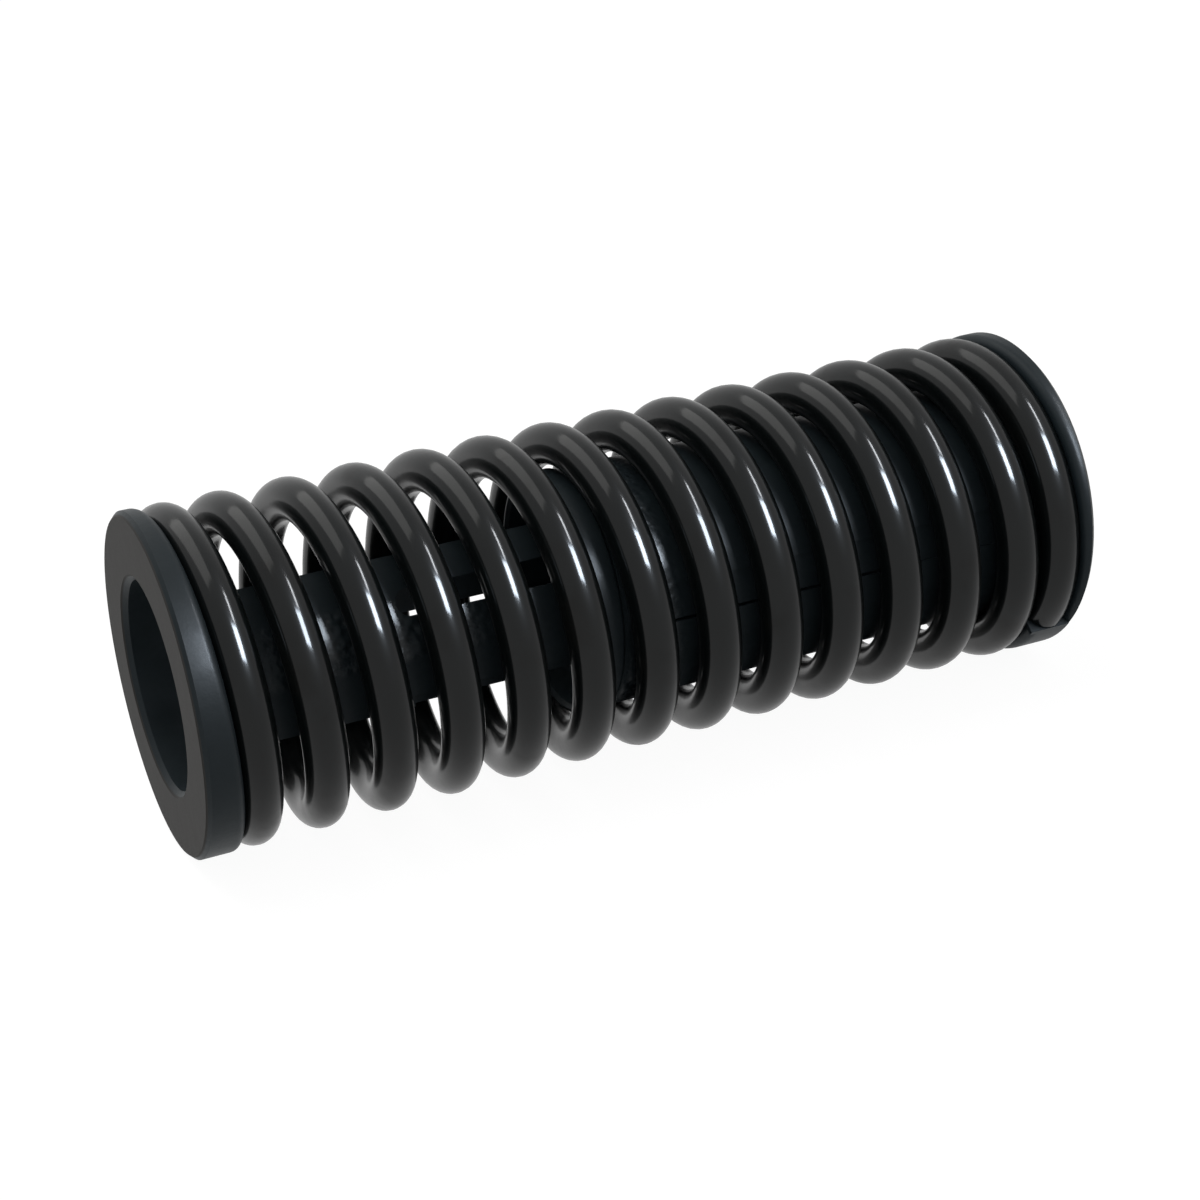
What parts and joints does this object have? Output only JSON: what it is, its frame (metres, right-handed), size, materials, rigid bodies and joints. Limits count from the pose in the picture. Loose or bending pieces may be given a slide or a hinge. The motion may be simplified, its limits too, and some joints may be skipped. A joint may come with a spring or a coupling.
{
  "type": "die spring with telescoping liner",
  "caption": "Heavy round-wire compression spring with a moulded two-part liner inside: slotted fingers slide in a sleeve, and both liner ends are flanged seats with a bore for a guide rod.",
  "frame": {"origin": "centre of the lower flange's face, on the axis of the spring", "axes": "+Z along the spring's axis towards the finger guide's flange; the spring is wound right-handed about Z"},
  "size_m": [0.056, 0.056, 0.156],
  "materials": {
    "coil": "gloss",
    "liner": "satin"
  },
  "bodies": {
    "lower_liner": {"sleeve_guide": "liner", "coil_spring": "coil"},
    "upper_liner": {"finger_guide": "liner"}
  },
  "joints": [
    {"name": "liner_slide", "type": "slide", "parent": "lower_liner", "child": "upper_liner", "axis": [0, 0, 1], "range_m": [-0.04, 0], "stiffness_N_per_m": 16700, "deforming": ["coil_spring"]}
  ]
}
